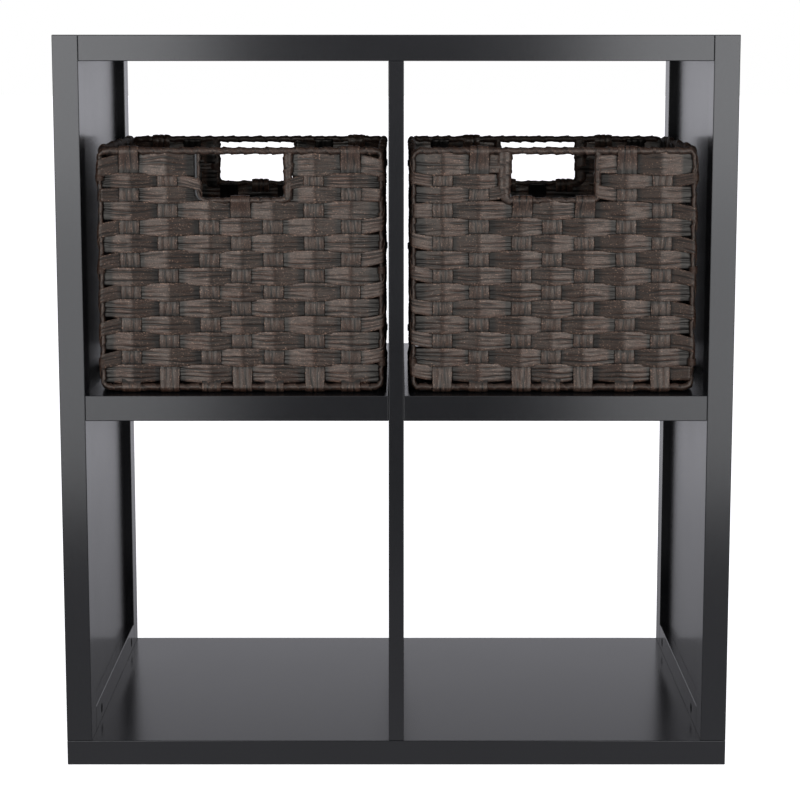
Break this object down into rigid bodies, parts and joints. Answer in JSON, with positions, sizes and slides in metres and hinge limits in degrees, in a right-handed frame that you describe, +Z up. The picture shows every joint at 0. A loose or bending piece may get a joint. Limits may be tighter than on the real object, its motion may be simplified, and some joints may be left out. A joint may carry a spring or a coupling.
{
  "type": "cube storage unit",
  "caption": "Open cube shelf in black board with a centre divider, framed sides and half shelves, holding woven baskets with handle openings that slide out of its upper cubes.",
  "frame": {"origin": "middle of the underside of the base board, on the floor", "axes": "+Z up; -Y is the open front that the baskets are pulled out of, so +Y is from front to back; +X is to the right seen from the front"},
  "size_m": [0.66, 0.39, 0.725],
  "materials": {
    "black_laminate": "satin",
    "woven_fibre": "matte",
    "fibre_binding": "matte",
    "black_wire": "satin",
    "zinc_hardware": "satin",
    "beech_dowel": "matte"
  },
  "bodies": {
    "shelf_unit": {"barrel_nuts": "zinc_hardware", "base_board": "black_laminate", "base_bolts": "zinc_hardware", "cam_bolts": "zinc_hardware", "cam_locks": "zinc_hardware", "divider": "black_laminate", "divider_dowels": "beech_dowel", "divider_screws": "zinc_hardware", "frame_dowels": "beech_dowel", "left_bottom_rail": "black_laminate", "left_front_post": "black_laminate", "left_rear_post": "black_laminate", "left_shelf": "black_laminate", "left_side_panel": "black_laminate", "left_top_rail": "black_laminate", "post_dowels": "beech_dowel", "right_bottom_rail": "black_laminate", "right_front_post": "black_laminate", "right_rear_post": "black_laminate", "right_shelf": "black_laminate", "right_side_panel": "black_laminate", "right_top_rail": "black_laminate", "through_bolts": "zinc_hardware", "top_board": "black_laminate"},
    "left_basket": {"left_basket_back_frame": "black_wire", "left_basket_back_wall": "woven_fibre", "left_basket_base_rings": "fibre_binding", "left_basket_corner_ties": "fibre_binding", "left_basket_front_frame": "black_wire", "left_basket_front_wall": "woven_fibre", "left_basket_left_frame": "black_wire", "left_basket_left_wall": "woven_fibre", "left_basket_right_frame": "black_wire", "left_basket_right_wall": "woven_fibre"},
    "left_basket_base": {"left_basket_base_frame": "black_wire", "left_basket_base_panel": "woven_fibre"},
    "right_basket": {"right_basket_back_frame": "black_wire", "right_basket_back_wall": "woven_fibre", "right_basket_base_rings": "fibre_binding", "right_basket_corner_ties": "fibre_binding", "right_basket_front_frame": "black_wire", "right_basket_front_wall": "woven_fibre", "right_basket_left_frame": "black_wire", "right_basket_left_wall": "woven_fibre", "right_basket_right_frame": "black_wire", "right_basket_right_wall": "woven_fibre"},
    "right_basket_base": {"right_basket_base_frame": "black_wire", "right_basket_base_panel": "woven_fibre"}
  },
  "joints": [
    {"name": "left_basket_slide", "type": "slide", "parent": "shelf_unit", "child": "left_basket", "axis": [0, -1, 0], "range_m": [-0.085, 0.32]},
    {"name": "left_basket_base_hinge", "type": "hinge", "parent": "left_basket", "child": "left_basket_base", "pos_m": [-0.152, 0.097, 0.3784], "axis": [-1, 0, 0], "range_deg": [0, 88]},
    {"name": "right_basket_slide", "type": "slide", "parent": "shelf_unit", "child": "right_basket", "axis": [0, -1, 0], "range_m": [-0.085, 0.32]},
    {"name": "right_basket_base_hinge", "type": "hinge", "parent": "right_basket", "child": "right_basket_base", "pos_m": [0.154, 0.097, 0.3784], "axis": [-1, 0, 0], "range_deg": [0, 88]}
  ]
}
